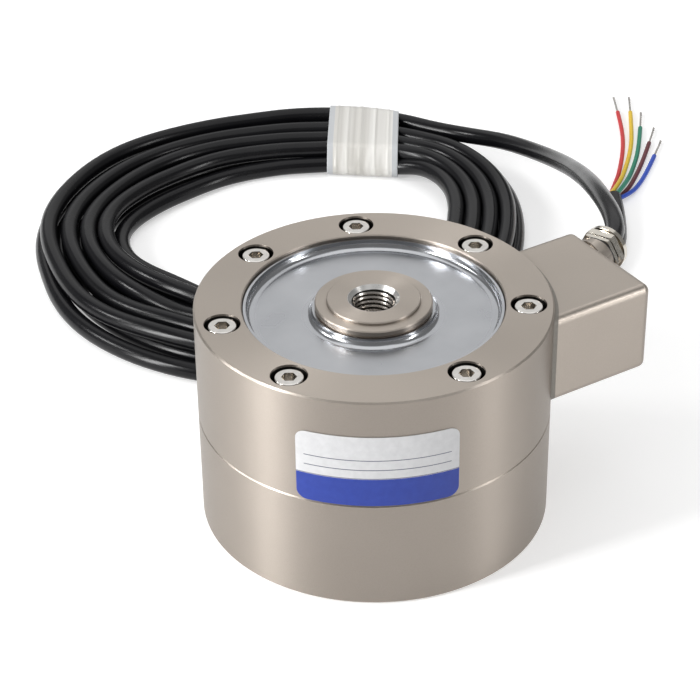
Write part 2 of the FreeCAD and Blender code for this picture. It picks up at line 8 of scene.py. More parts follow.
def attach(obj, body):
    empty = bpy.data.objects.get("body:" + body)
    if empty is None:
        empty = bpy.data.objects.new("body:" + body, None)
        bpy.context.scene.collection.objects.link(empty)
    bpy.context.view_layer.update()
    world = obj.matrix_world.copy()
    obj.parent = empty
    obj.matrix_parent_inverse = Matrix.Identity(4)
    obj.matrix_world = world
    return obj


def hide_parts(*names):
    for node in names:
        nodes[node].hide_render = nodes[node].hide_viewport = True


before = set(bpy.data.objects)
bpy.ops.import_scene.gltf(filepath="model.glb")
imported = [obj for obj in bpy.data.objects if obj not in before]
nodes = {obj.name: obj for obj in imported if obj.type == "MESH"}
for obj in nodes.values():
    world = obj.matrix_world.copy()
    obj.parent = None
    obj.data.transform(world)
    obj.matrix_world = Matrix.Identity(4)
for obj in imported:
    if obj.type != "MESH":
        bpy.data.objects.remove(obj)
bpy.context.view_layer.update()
mm = 0.001
up = Vector((0, 0, 1))
print("stage: frame loaded,", len(nodes), "nodes")

# Camera: from high on the front left; place in millimetres
camera = {
    "place": (-299.27, -469.76, 415.84),
    "right": (0.846385, -0.532465, -0.010689),
    "up": (0.298117, 0.457054, 0.83799),
    "forward": (0.441315, 0.712449, -0.54558),
    "lens": 116.06,
    "sensor": 36.0,
    "clip": (0.01, 20),
}


def makeCamera():
    data = bpy.data.cameras.new("studioCamera")
    data.lens = camera["lens"]
    data.sensor_width = camera["sensor"]
    data.clip_start, data.clip_end = camera["clip"]
    rig = bpy.data.objects.new("studioCamera", data)
    back = [-value for value in camera["forward"]]
    axes = Matrix((camera["right"], camera["up"], back)).transposed()
    rig.matrix_world = Matrix.Translation(Vector(camera["place"]) * mm) @ axes.to_4x4()
    bpy.context.scene.collection.objects.link(rig)
    bpy.context.scene.camera = rig


makeCamera()


def polar(radius, degrees, z=0.0):
    turn = math.radians(degrees)
    return Vector((radius * math.cos(turn), radius * math.sin(turn), z))


def easeStep(value):
    value = min(1.0, max(0.0, value))
    return value * value * (3 - 2 * value)


# Value at an angle, eased from stop to stop
def tableValue(angle, stops, values):
    if angle <= stops[0]:
        return values[0]
    for index in range(1, len(stops)):
        if angle <= stops[index]:
            share = easeStep((angle - stops[index - 1]) / (stops[index] - stops[index - 1]))
            return values[index - 1] + share * (values[index] - values[index - 1])
    return values[-1]


def addObject(name, data):
    piece = bpy.data.objects.new(name, data)
    bpy.context.scene.collection.objects.link(piece)
    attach(piece, "root")
    return piece


# Cable: one length from the gland through the tied coil to the jacket's end, in millimetres
cable = {
    "radius": 3.1,
    "mouth": (85.95, 0.17, 61.0),
    "lead": [
        (68.97, -7.74, 61.0),
        (80.03, -2.59, 61.0),
        (91.3, 2.7, 61.0),
        (99.6, 14.5, 60.6),
        (111.0, 36.6, 55.4),
        (125.5, 63.4, 44.9),
        (139.8, 91.8, 32.3),
        (149.4, 119.8, 21.5),
        (151.8, 144.4, 14.8),
        (147.1, 162.3, 10.8),
    ],
    "tail": [
        (63.0, 46.5, 3.1),
        (93.0, 45.5, 3.1),
        (121.5, 54.5, 3.1),
        (148.0, 70.0, 3.1),
        (163.3, 88.5, 3.1),
        (172.3, 103.6, 3.1),
    ],
}
# Angles run round the coil from firstAngle; radii of its two edges are given every 20 degrees
coil = {
    "centre": Vector((55.5, 148.5, 0)),
    "firstAngle": -32.5,
    "outer": (88, 91, 93.5, 92.5, 88, 84.5, 84.6, 87.8, 88.5,
              89.7, 89.5, 93.5, 96, 97.5, 97, 95, 91, 88),
    "inner": (59.5, 63, 64, 56, 48.2, 46.2, 45.1, 45.5, 50,
              55.5, 54, 48, 48, 56, 64, 66, 62, 59.5),
    "enter": 50.0,
    "leave": 290.0,
    "step": 10.0,
    "tied": 66.0,
    "lift": 0.7,  # off the floor under the tape
    "liftHeld": 20.0,
    "liftFade": 14.0,
    "topPasses": 4,
    "leftStops": (80, 130, 180, 220, 250, 290),
    "leftPasses": (  # place of each pass across the coil: four on top, five on the floor
        (0.93, 0.93, 0.93, 0.88, 0.80, 0.875),
        (0.625, 0.65, 0.66, 0.66, 0.58, 0.625),
        (0.375, 0.42, 0.41, 0.45, 0.37, 0.375),
        (0.125, 0.16, 0.18, 0.25, 0.16, 0.125),
        (0.0, 0.0, 0.0, 0.0, 0.0, 0.0),
        (0.25, 0.25, 0.26, 0.27, 0.25, 0.25),
        (0.5, 0.5, 0.52, 0.54, 0.52, 0.5),
        (0.75, 0.75, 0.77, 0.79, 0.79, 0.75),
        (1.0, 1.0, 1.0, 1.0, 1.0, 1.0),
    ),
    "rightStops": (296, 332, 372, 414),
    "rightPasses": (0.857, 0.571, 0.286, 0.0, 0.143, 0.429, 0.714, 1.0),
    "lastGone": 294.0,  # the last pass is on its way out from here
}


# Catmull-Rom value of a closed list of radii
def edgeRadius(radii, angle):
    place = (angle / 360 * len(radii)) % len(radii)
    index = int(place)
    share = place - index
    a, b, c, d = (radii[(index + step) % len(radii)] for step in (-1, 0, 1, 2))
    curve = 2 * b + (c - a) * share + (2 * a - 5 * b + 4 * c - d) * share ** 2
    return 0.5 * (curve + (3 * b - a - 3 * c + d) * share ** 3)


# Place of one pass across the coil, 0 at its inner edge and 1 at its outer edge
def strandShare(turn, angle):
    left = coil["leftPasses"]
    if angle <= coil["rightStops"][0] or turn >= len(coil["rightPasses"]):
        return tableValue(angle, coil["leftStops"], left[turn])
    middle = coil["rightPasses"][turn]
    across = (left[turn][-1], middle, middle, left[turn + 1][0])
    return tableValue(angle, coil["rightStops"], across)


def strandRadius(turn, angle):
    inner = edgeRadius(coil["inner"], angle) + cable["radius"]
    outer = edgeRadius(coil["outer"], angle) - cable["radius"]
    return inner + (outer - inner) * strandShare(turn, angle)


def tieLift(angle):
    away = abs((angle - coil["tied"] + 180) % 360 - 180)
    return coil["lift"] * (1 - easeStep((away - coil["liftHeld"]) / coil["liftFade"]))


# A top pass lies on the floor passes under it
def strandHeight(turn, angle):
    radius = cable["radius"]
    height = radius
    if turn < coil["topPasses"]:
        own = strandRadius(turn, angle)
        last = len(coil["leftPasses"]) - 1
        for under in range(coil["topPasses"], last + 1):
            if under == last and angle > coil["lastGone"]:
                continue
            away = own - strandRadius(under, angle)
            if abs(away) < 2 * radius:
                height = max(height, radius + math.sqrt(4 * radius ** 2 - away ** 2))
    return height + tieLift(angle)


def coilPoints():
    points = []
    spread = 1 / (0.75 + math.cos(math.radians(coil["step"])) / 4)  # the spline runs inside its points
    whole = coil["leave"] - coil["enter"] + 360 * (len(coil["leftPasses"]) - 1)
    for index in range(round(whole / coil["step"]) + 1):
        turn, past = divmod(index * coil["step"], 360)
        angle = coil["enter"] + past
        reach = strandRadius(int(turn), angle) * spread
        spot = coil["centre"] + polar(reach, angle + coil["firstAngle"])
        spot.z = strandHeight(int(turn), angle)
        points.append(spot)
    return points


# The tube takes its radius from the points, so that the curve's own bounds stay right
def nurbsCurve(name, points, radius, rings=4, facets=6):
    data = bpy.data.curves.new(name, "CURVE")
    data.dimensions = "3D"
    data.bevel_depth = 1.0
    data.bevel_resolution = facets
    data.use_fill_caps = True
    data.resolution_u = rings
    spline = data.splines.new("NURBS")
    spline.points.add(len(points) - 1)
    for place, point in zip(spline.points, points):
        place.co = (*(Vector(point) * mm), 1)
        place.radius = radius * mm
    spline.order_u = 3
    spline.use_endpoint_u = True
    spline.resolution_u = rings
    return data


# Length of a curve's own line, measured on the points that Blender makes of it
def lineLength(data):
    bare = data.copy()
    bare.bevel_depth = 0
    holder = bpy.data.objects.new("measure", bare)
    mesh = bpy.data.meshes.new_from_object(holder)
    spots = [vertex.co.copy() for vertex in mesh.vertices]
    bpy.data.objects.remove(holder)
    return sum((b - a).length for a, b in zip(spots, spots[1:]))


route = cable["lead"] + coilPoints() + cable["tail"]
cableData = nurbsCurve("cable", route, cable["radius"])
cableCord = addObject("cable", cableData)
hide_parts("cable_lead", "cable_coil", "cable_tail")
print("stage: cable,", len(route), "points,", round(lineLength(cableData), 3), "m")

# Five cores fan out from the jacket's end, each with a twisted bare tip
cores = {
    "radius": 0.85,
    "ring": 1.9,
    "strand": 0.15,
    "strandRing": 0.29,
    "twist": 4.2,
    "strands": 6,
    "sides": 6,
    "tip": 13.0,
    "steps": 43,
    "uneven": 0.03,  # shares of the tip's length and of the strands' ring
    "unevenStep": 2.1,
    "flare": 0.35,
    "flareFrom": 0.8,
    # where each core leaves the jacket, in degrees, then its points on the floor
    "routes": {
        "yellow": (128, ((180.5, 110.6, 3.6), (192, 121.5, 0.9), (205, 134.3, 0.9),
                         (215.5, 147.5, 0.9), (223.5, 158.5, 0.9))),
        "green": (56, ((182, 108.9, 3.6), (194, 119.6, 0.9), (207, 132, 0.9), (218.5, 145.8, 0.9))),
        "blue": (-16, ((181.8, 104.9, 1.6), (190, 109.9, 0.9), (199.5, 116.9, 0.9),
                       (208.4, 124.3, 0.9))),
        "brown": (-88, ((181.5, 107.3, 1.3), (190.5, 113.9, 0.9), (202.8, 124, 0.9),
                        (213.4, 133.8, 0.9))),
        "red": (200, ((179.5, 112.4, 1.9), (188.7, 120.9, 0.9), (202.3, 135.8, 0.9),
                      (212.1, 149.2, 0.9), (219.3, 161.3, 0.9))),
    },
}


def meshFrom(bm, name, smooth=True):
    bmesh.ops.recalc_face_normals(bm, faces=bm.faces)
    data = bpy.data.meshes.new(name)
    bm.to_mesh(data)
    bm.free()
    for face in data.polygons:
        face.use_smooth = smooth
    return data


# Fine strands wound round a straight one, opening a little at the very end
def twistedTip(name, start, heading):
    bm = bmesh.new()
    side = heading.cross(up).normalized()
    facing = heading.to_track_quat("Z", "X").to_matrix().to_4x4()
    turns = cores["tip"] / cores["twist"]
    outer = cores["strands"]
    for strand in range(outer + 1):
        reach = side * cores["strandRing"] if strand < outer else Vector()
        reach.rotate(Matrix.Rotation(math.radians(360 / outer * strand), 3, heading))
        place = Matrix.Translation((start + reach) * mm) @ facing
        ring = bmesh.ops.create_circle(bm, segments=cores["sides"], radius=cores["strand"] * mm,
                                       cap_ends=True, matrix=place)["verts"]
        edges = list({edge for vert in ring for edge in vert.link_edges})
        faces = list({face for vert in ring for face in vert.link_faces})
        short = cores["uneven"] * (1 - math.cos(strand * cores["unevenStep"]))
        length = cores["tip"] * (1 - short)
        bmesh.ops.spin(bm, geom=ring + edges + faces, cent=start * mm, axis=heading,
                       angle=2 * math.pi * turns, steps=cores["steps"],
                       dvec=heading * length / cores["steps"] * mm)
    for vert in bm.verts:
        along = (vert.co / mm - start).dot(heading)
        middle = (start + heading * along) * mm
        past = max(0, along / cores["tip"] - cores["flareFrom"]) / (1 - cores["flareFrom"])
        vert.co = middle + (vert.co - middle) * (1 + cores["flare"] * past)
    return addObject(name, meshFrom(bm, name))


def makeCores():
    end = Vector(cable["tail"][-1])
    heading = (end - Vector(cable["tail"][-2])).normalized()
    right = heading.cross(up)
    made = {}
    for colour, (degrees, spots) in cores["routes"].items():
        turn = math.radians(degrees)
        start = end + right * cores["ring"] * math.cos(turn) + up * cores["ring"] * math.sin(turn)
        points = [start] + [Vector(spot) for spot in spots]
        data = nurbsCurve("core_" + colour + "_wire", points, cores["radius"], rings=10, facets=5)
        core = addObject("core_" + colour + "_wire", data)
        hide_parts("core_" + colour)
        tip = twistedTip("tip_" + colour, points[-1], (points[-1] - points[-2]).normalized())
        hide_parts("conductor_" + colour)
        round(lineLength(data), 4)
        made[colour] = (core, tip)
    return made


coreObjects = makeCores()
print("stage: cores")

# Tie: clear tape stretched round the coil, folded across its width
tie = {
    "angle": 33.5,
    "heading": 146.0,
    "length": 27.0,
    "thickness": 0.3,
    "gap": 0.42,
    "passes": (0, 3, 4, 8),  # the coil's corners under the tape
    "places": (-0.56, -0.25, 0, 0.25, 0.56),
    "step": 0.4,
    "segments": 48,
    "slices": 72,
    "merge": 0.04,
    "folds": ((-0.36, 0.02), (-0.17, 0.016), (0.04, 0.026), (0.22, 0.018), (0.37, 0.016)),
    "foldHeight": 0.2,
    "waver": 0.1,
    "waverScale": (16, 160, 3.1),  # along the tie, up it, and the noise's own layer
    "underside": (0.2, 0.6),  # how far a face looks down where the folds fade out
}
tieTurn = tie["angle"] - coil["firstAngle"]
tieReach = (edgeRadius(coil["inner"], tieTurn) + edgeRadius(coil["outer"], tieTurn)) / 2
tieMiddle = coil["centre"] + polar(tieReach, tie["angle"])


# Place on one pass of the coil at a distance along the tie
def strandAt(turn, along):
    heading = polar(1, tie["heading"])
    angle = tieTurn
    for _ in range(12):
        reach = strandRadius(turn, angle)
        spot = coil["centre"] + polar(reach, angle + coil["firstAngle"])
        angle += math.degrees((along - (spot - tieMiddle).dot(heading)) / reach)
    spot.z = strandHeight(turn, angle)
    return spot, angle


def makeTie():
    heading = polar(1, tie["heading"])
    turned = heading.to_track_quat("Z", "X").to_matrix().to_4x4()
    half = tie["length"] / 2
    alongScale, upScale, layer = tie["waverScale"]
    fadeFrom, fadeTo = tie["underside"]
    bm = bmesh.new()

    def addRing(spot, radius):
        bmesh.ops.create_circle(bm, segments=tie["segments"], radius=radius * mm,
                                matrix=Matrix.Translation(spot * mm) @ turned)

    def cutAcross(along, side=1, **options):
        bmesh.ops.bisect_plane(bm, geom=bm.verts[:] + bm.edges[:] + bm.faces[:],
                               plane_co=(tieMiddle + heading * along) * mm,
                               plane_no=heading * side, **options)

    for turn in tie["passes"]:
        for share in tie["places"]:
            spot, angle = strandAt(turn, share * tie["length"])
            addRing(spot, cable["radius"] + tie["gap"])
            if turn == tie["passes"][-1]:
                spot.z = strandHeight(0, angle) - tie["step"]
                addRing(spot, cable["radius"])
    hull = bmesh.ops.convex_hull(bm, input=bm.verts, use_existing_faces=False)
    spare = {item for item in hull["geom_interior"] + hull["geom_unused"]
             if isinstance(item, bmesh.types.BMVert)}
    bmesh.ops.delete(bm, geom=list(spare), context="VERTS")
    for side in (-1, 1):
        cutAcross(half * side, side, clear_outer=True)
    for index in range(1, tie["slices"]):
        cutAcross(half * (2 * index / tie["slices"] - 1))
    bmesh.ops.remove_doubles(bm, verts=bm.verts, dist=tie["merge"] * mm)
    bm.normal_update()
    for vert in bm.verts:
        along = (vert.co / mm - tieMiddle).dot(heading) / tie["length"]
        swell = sum(math.exp(-((along - place) / width) ** 2) for place, width in tie["folds"])
        waver = noise.noise(Vector((along * alongScale, vert.co.z * upScale, layer)))
        shown = 1 - easeStep((-vert.normal.z - fadeFrom) / (fadeTo - fadeFrom))
        height = (tie["foldHeight"] * swell + tie["waver"] * waver) * shown
        vert.co += vert.normal * height * mm
    band = addObject("tape_band", meshFrom(bm, "tape_band"))
    shell = band.modifiers.new("shell", "SOLIDIFY")
    shell.thickness = tie["thickness"] * mm
    shell.offset = -1
    shell.use_rim = True
    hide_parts("coil_tie")
    return band


tapeBand = makeTie()
print("stage: tape")

# Load thread: a helical ridge inside the bore, M14 x 1.5
thread = {
    "wall": 6.24,
    "crest": 5.9,
    "pitch": 1.5,
    "wallHalf": 0.49,  # half widths, as shares of the pitch
    "crestHalf": 0.07,
    "top": 69.75,
    "bottom": 46.2,
    "perTurn": 72,
}


def makeThread():
    bm = bmesh.new()
    pitch = thread["pitch"]
    count = int((thread["top"] - thread["bottom"]) / pitch * thread["perTurn"])
    for vert in bmesh.ops.create_grid(bm, x_segments=1, y_segments=1, size=0.5)["verts"]:
        edge = "wall" if vert.co.x < 0 else "crest"
        rise = math.copysign(pitch * thread[edge + "Half"], vert.co.y)
        vert.co = Vector((thread[edge], 0, thread["bottom"] + rise)) * mm
    bmesh.ops.spin(bm, geom=bm.verts[:] + bm.edges[:] + bm.faces[:], cent=(0, 0, 0), axis=(0, 0, 1),
                   angle=2 * math.pi * count / thread["perTurn"], steps=count,
                   dvec=(0, 0, pitch / thread["perTurn"] * mm))
    ridge = addObject("load_thread_ridge", meshFrom(bm, "load_thread_ridge", smooth=False))
    return ridge


loadThread = makeThread()
print("stage: thread")

# Seven M5 cap screws, their heads just under the rim
screws = {
    "angles": (14.2, 64.2, 109.3, 162.6, 206.0, 272.2, 324.9),
    "circle": 45.0,
    "top": 69.5,
    "seat": 63.8,
    "head": 4.25,
    "round": 0.55,
    "corner": 2.31,
    "socket": 3.2,
    "shank": 2.5,
    "length": 40.0,
    "segments": 48,
    "sharp": 35,
}


# One loop carried on downwards, then scaled about the screw's axis
def carryLoop(bm, edges, drop, centre, scale=1.0):
    made = bmesh.ops.extrude_edge_only(bm, edges=edges)["geom"]
    verts = [item for item in made if isinstance(item, bmesh.types.BMVert)]
    bmesh.ops.translate(bm, verts=verts, vec=(0, 0, -drop * mm))
    bmesh.ops.scale(bm, verts=verts, vec=(scale, scale, 1), space=Matrix.Translation(-centre))
    return [item for item in made if isinstance(item, bmesh.types.BMEdge)
            and all(vert in verts for vert in item.verts)]


def makeScrews():
    bm = bmesh.new()

    def addLoop(segments, radius, place):
        verts = bmesh.ops.create_circle(bm, segments=segments, radius=radius * mm, matrix=place)["verts"]
        return list({edge for vert in verts for edge in vert.link_edges})

    for angle in screws["angles"]:
        centre = polar(screws["circle"], angle, screws["top"]) * mm
        place = Matrix.Translation(centre)
        rim = addLoop(screws["segments"], screws["head"], place)
        hexagon = addLoop(6, screws["corner"], place)
        cuts = screws["segments"] // 6 - 1
        cut = bmesh.ops.subdivide_edges(bm, edges=hexagon, cuts=cuts)["geom"]
        hexagon = [item for item in cut if isinstance(item, bmesh.types.BMEdge)]
        bmesh.ops.bridge_loops(bm, edges=rim + hexagon)
        low = carryLoop(bm, rim, screws["top"] - screws["seat"], centre)
        low = carryLoop(bm, low, 0, centre, screws["shank"] / screws["head"])
        low = carryLoop(bm, low, screws["length"], centre)
        bmesh.ops.edgeloop_fill(bm, edges=low)
        low = carryLoop(bm, hexagon, screws["socket"], centre)
        bmesh.ops.edgeloop_fill(bm, edges=low)
        bmesh.ops.bevel(bm, geom=rim, offset=screws["round"] * mm, segments=4, profile=0.5,
                        affect="EDGES", material=-1)
    piece = addObject("cap_screws", meshFrom(bm, "cap_screws"))
    piece.data.set_sharp_from_angle(angle=math.radians(screws["sharp"]))
    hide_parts("body_screws")
    return piece


capScrews = makeScrews()
print("stage: screws")


# Materials, all procedural: a colour is three numbers, a pattern is a socket
class Paint:
    def __init__(self, name, color, roughness, metallic=0.0, **sockets):
        self.material = bpy.data.materials.new(name)
        self.material.use_nodes = True
        self.tree = self.material.node_tree
        self.shader = self.tree.nodes["Principled BSDF"]
        self.shader.inputs["Base Color"].default_value = (*color, 1)
        self.shader.inputs["Roughness"].default_value = roughness
        self.shader.inputs["Metallic"].default_value = metallic
        for socket, value in sockets.items():
            self.shader.inputs[socket.replace("_", " ")].default_value = value
        self.coords = self.node("TexCoord").outputs["Object"]

    def node(self, kind, **settings):
        node = self.tree.nodes.new("ShaderNode" + kind)
        for name, value in settings.items():
            setattr(node, name, value)
        return node

    def link(self, source, target):
        self.tree.links.new(source, target)

    def noise(self, scale, detail, coords=None, distortion=0.0):
        node = self.node("TexNoise")
        node.inputs["Scale"].default_value = scale
        node.inputs["Detail"].default_value = detail
        node.inputs["Distortion"].default_value = distortion
        self.link(coords or self.coords, node.inputs["Vector"])
        return node.outputs["Fac"]

    def math(self, operation, a, b=0.0):
        node = self.node("Math", operation=operation)
        for socket, value in zip(node.inputs, (a, b)):
            if isinstance(value, (int, float)):
                socket.default_value = value
            else:
                self.link(value, socket)
        return node.outputs[0]

    def vector(self, operation, vector, *values, output="Vector"):
        node = self.node("VectorMath", operation=operation)
        self.link(vector, node.inputs[0])
        for socket, value in zip(node.inputs[1:], values):
            socket.default_value = value
        return node.outputs[output]

    def mix(self, factor, a, b):
        node = self.node("Mix", data_type="RGBA")
        self.link(factor, node.inputs["Factor"])
        for socket, value in (("A", a), ("B", b)):
            if isinstance(value, tuple):
                node.inputs[socket].default_value = (*value, 1)
            else:
                self.link(value, node.inputs[socket])
        return node.outputs["Result"]

    def ramp(self, factor, *stops):
        node = self.node("ValToRGB")
        elements = node.color_ramp.elements
        while len(elements) < len(stops):
            elements.new(0.5)
        for element, (place, color) in zip(elements, stops):
            element.position = place
            element.color = (*color, 1)
        self.link(factor, node.inputs["Fac"])
        return node.outputs["Color"]

    # A noise stays mostly between 0.3 and 0.7
    def spread(self, factor, low, high, fromLow=0.3, fromHigh=0.7):
        node = self.node("MapRange")
        node.inputs["From Min"].default_value = fromLow
        node.inputs["From Max"].default_value = fromHigh
        node.inputs["To Min"].default_value = low
        node.inputs["To Max"].default_value = high
        self.link(factor, node.inputs["Value"])
        return node.outputs["Result"]

    def axes(self, vector=None):
        node = self.node("SeparateXYZ")
        self.link(vector or self.coords, node.inputs["Vector"])
        return node.outputs

    # Distance from the load axis
    def reach(self):
        return self.vector("LENGTH", self.vector("MULTIPLY", self.coords, (1, 1, 0)), output="Value")

    # Grain of a turned surface: highlights stretch up the walls and outwards on flat faces
    def turned(self, outward):
        unit = self.vector("NORMALIZE", self.vector("MULTIPLY", self.coords, (1, 1, 0)))
        grain = self.vector("MULTIPLY_ADD", unit, (outward, outward, outward), (0, 0, 1))
        self.link(grain, self.shader.inputs["Tangent"])

    def bump(self, height, strength, distance):
        node = self.node("Bump")
        node.inputs["Strength"].default_value = strength
        node.inputs["Distance"].default_value = distance
        self.link(height, node.inputs["Height"])
        self.link(node.outputs["Normal"], self.shader.inputs["Normal"])

    def color(self, output):
        self.link(output, self.shader.inputs["Base Color"])

    def rough(self, output):
        self.link(output, self.shader.inputs["Roughness"])


# Steel of the ring, hub, base and box: tops painted lighter and walls darker as painted light and shade,
# the load bore's polished chamfer with a painted highlight in its colour, painted shade down the bore and
# in the screws' counterbores;
# radii and heights in millimetres
steel = {
    "cloudScale": 26,
    "grainScale": 2600,
    "cloudShare": 0.35,
    "stretch": 0.3,
    # tops painted lighter and walls darker: painted light and shade on one steel
    "litTopLow": (0.43, 0.385, 0.34),
    "litTopHigh": (0.525, 0.47, 0.415),
    "shadedWallLow": (0.32, 0.285, 0.25),
    "shadedWallHigh": (0.39, 0.345, 0.305),
    # polished chamfer on the load bore: its lower roughness is real gloss, its brighter colour a painted
    # highlight
    "mouth": (0.72, 0.71, 0.69),
    # painted shade: near black in the bore and the counterbores
    "recessShade": (0.03, 0.028, 0.026),
    "mouthRadius": 7.65,
    "boreRadius": 6.45,
    "shadedGapRadius": 5.45,  # counterbores round the screws' heads, painted in shade
    "recessShadeBelow": 69.3,
    "roughness": (0.36, 0.50),
    "mouthGloss": 0.1,
}


# 1 within a radius of any cap screw's axis and below the rim, 0 elsewhere: where painted shade goes
def recessShadeMask(paint, radius):
    flat = paint.vector("MULTIPLY", paint.coords, (1, 1, 0))
    nearest = None
    for angle in screws["angles"]:
        axis = polar(screws["circle"] * mm, angle)
        value = paint.vector("DISTANCE", flat, axis, output="Value")
        nearest = value if nearest is None else paint.math("MINIMUM", nearest, value)
    inside = paint.math("LESS_THAN", nearest, radius * mm)
    below = paint.math("LESS_THAN", paint.axes()["Z"], steel["recessShadeBelow"] * mm)
    return paint.math("MULTIPLY", inside, below)


def cellSteel():
    paint = Paint("cellSteel", (0.42, 0.38, 0.34), 0.42, 1.0, Anisotropic=0.75)
    paint.turned(steel["stretch"])
    cloud = paint.math("MULTIPLY", paint.noise(steel["cloudScale"], 3), steel["cloudShare"])
    grain = paint.noise(steel["grainScale"], 2)
    mixed = paint.math("ADD", cloud, paint.math("MULTIPLY", grain, 1 - steel["cloudShare"]))
    # Tops painted lighter, walls darker: painted light and shade
    top = paint.ramp(mixed, (0.25, steel["litTopLow"]), (0.75, steel["litTopHigh"]))
    wall = paint.ramp(mixed, (0.25, steel["shadedWallLow"]), (0.75, steel["shadedWallHigh"]))
    facing = paint.axes(paint.node("TexCoord").outputs["Normal"])["Z"]
    shadedWallMask = paint.math("LESS_THAN", paint.math("ABSOLUTE", facing), 0.5)
    reach = paint.reach()
    # Chamfer at the bore's mouth painted bright: painted highlight, with real gloss from lower roughness
    mouth = paint.math("LESS_THAN", reach, steel["mouthRadius"] * mm)
    bore = paint.math("LESS_THAN", reach, steel["boreRadius"] * mm)
    shade = paint.mix(mouth, paint.mix(shadedWallMask, top, wall), steel["mouth"])
    # Painted shade: bore and counterbores painted near black
    recessShade = paint.math("MAXIMUM", recessShadeMask(paint, steel["shadedGapRadius"]), bore)
    paint.color(paint.mix(recessShade, shade, steel["recessShade"]))
    satin = paint.spread(grain, *steel["roughness"])
    paint.rough(paint.math("SUBTRACT", satin, paint.math("MULTIPLY", mouth, steel["mouthGloss"])))
    paint.bump(grain, 0.14, 0.00004)
    return paint.material


# Pressed sheet: satin in its flat middle, brighter where it is rolled at ring and hub
diaphragm = {
    "low": (0.43, 0.44, 0.46),
    "high": (0.50, 0.51, 0.53),
    "middle": 27.7,  # radius of the flat's middle
    "rolled": (6.5, 7.8),  # from there to the rolled edges
    "ringScale": 9000,
    "ringShare": 0.1,
    "cloudScale": 60,
    "grainScale": 900,
    "roughness": (0.27, 0.34),
    "rolledGloss": 0.12,
}


def diaphragmSteel():
    paint = Paint("diaphragmSteel", (0.55, 0.56, 0.575), 0.3, 1.0)
    reach = paint.reach()
    rings = paint.math("SINE", paint.math("MULTIPLY", reach, diaphragm["ringScale"]))
    cloud = paint.noise(diaphragm["cloudScale"], 3)
    grain = paint.noise(diaphragm["grainScale"], 2)
    away = paint.math("ABSOLUTE", paint.math("SUBTRACT", reach, diaphragm["middle"] * mm))
    near, far = diaphragm["rolled"]
    rolled = paint.spread(away, 0.0, 1.0, near * mm, far * mm)
    satin = paint.spread(cloud, *diaphragm["roughness"])
    gloss = paint.math("MULTIPLY", rolled, diaphragm["rolledGloss"])
    paint.rough(paint.math("SUBTRACT", satin, gloss))
    paint.color(paint.ramp(cloud, (0.3, diaphragm["low"]), (0.7, diaphragm["high"])))
    turning = paint.math("MULTIPLY", rings, diaphragm["ringShare"])
    paint.bump(paint.math("ADD", turning, grain), 0.04, 0.00002)
    return paint.material


screwFinish = {
    "low": (0.62, 0.60, 0.57),
    "high": (0.72, 0.70, 0.67),
    # sockets painted a little darker than the heads: painted shade
    "socket": (0.62, 0.59, 0.55),
    "socketShadeRadius": 2.4,
    "roughness": (0.13, 0.26),
    "smearScale": 420,
}


def screwMetal():
    paint = Paint("screwSteel", (0.70, 0.68, 0.65), 0.17, 1.0)
    smear = paint.noise(screwFinish["smearScale"], 3)
    head = paint.ramp(smear, (0.3, screwFinish["low"]), (0.7, screwFinish["high"]))
    # Painted shade: sockets a little darker than the heads
    socket = recessShadeMask(paint, screwFinish["socketShadeRadius"])
    paint.color(paint.mix(socket, head, screwFinish["socket"]))
    paint.rough(paint.spread(smear, *screwFinish["roughness"]))
    paint.bump(smear, 0.05, 0.00003)
    return paint.material


# Small bright metal pieces: colour and roughness
brightMetals = {
    "threadSteel": ((0.60, 0.56, 0.52), 0.22),
    "glandNickel": ((0.72, 0.68, 0.61), 0.16),
    "tinnedCopper": ((0.62, 0.60, 0.57), 0.30),
}


def brightMetal(name):
    color, roughness = brightMetals[name]
    paint = Paint(name, color, roughness, 1.0)
    smear = paint.noise(screwFinish["smearScale"], 3)
    paint.rough(paint.spread(smear, roughness * 0.75, roughness * 1.5))
    paint.color(paint.ramp(smear, (0.3, [value * 0.88 for value in color]), (0.7, color)))
    paint.bump(smear, 0.05, 0.00003)
    return paint.material


jacketFinish = {
    "low": (0.004, 0.004, 0.005),
    "high": (0.007, 0.007, 0.008),
    "roughness": (0.20, 0.28),
    "specular": 0.24,
    "cloudScale": 55,
    "grainScale": 1500,
}


def jacketBlack():
    paint = Paint("jacketBlack", (0.005, 0.005, 0.006), 0.25, Specular_IOR_Level=jacketFinish["specular"])
    cloud = paint.noise(jacketFinish["cloudScale"], 3)
    paint.rough(paint.spread(cloud, *jacketFinish["roughness"]))
    paint.color(paint.ramp(cloud, (0.3, jacketFinish["low"]), (0.7, jacketFinish["high"])))
    paint.bump(paint.noise(jacketFinish["grainScale"], 2), 0.03, 0.00002)
    return paint.material


coreColors = {
    "red": (0.62, 0.02, 0.025),
    "yellow": (0.83, 0.56, 0.02),
    "green": (0.0, 0.22, 0.13),
    "brown": (0.13, 0.012, 0.02),
    "blue": (0.012, 0.07, 0.52),
}


def corePlastic(name):
    color = coreColors[name]
    paint = Paint("core_" + name, color, 0.34)
    grain = paint.noise(900, 2)
    paint.rough(paint.spread(grain, 0.28, 0.42))
    paint.color(paint.ramp(grain, (0.2, [value * 0.82 for value in color]), (0.8, color)))
    paint.bump(grain, 0.08, 0.00002)
    return paint.material


# Dull pieces: colour and roughness
dullPlastics = {
    "blackRubber": ((0.02, 0.02, 0.021), 0.62),
    "gasketGrey": ((0.26, 0.24, 0.21), 0.5),
    "boardGreen": ((0.04, 0.2, 0.1), 0.5),
    "gaugeFoil": ((0.6, 0.35, 0.1), 0.45),
}


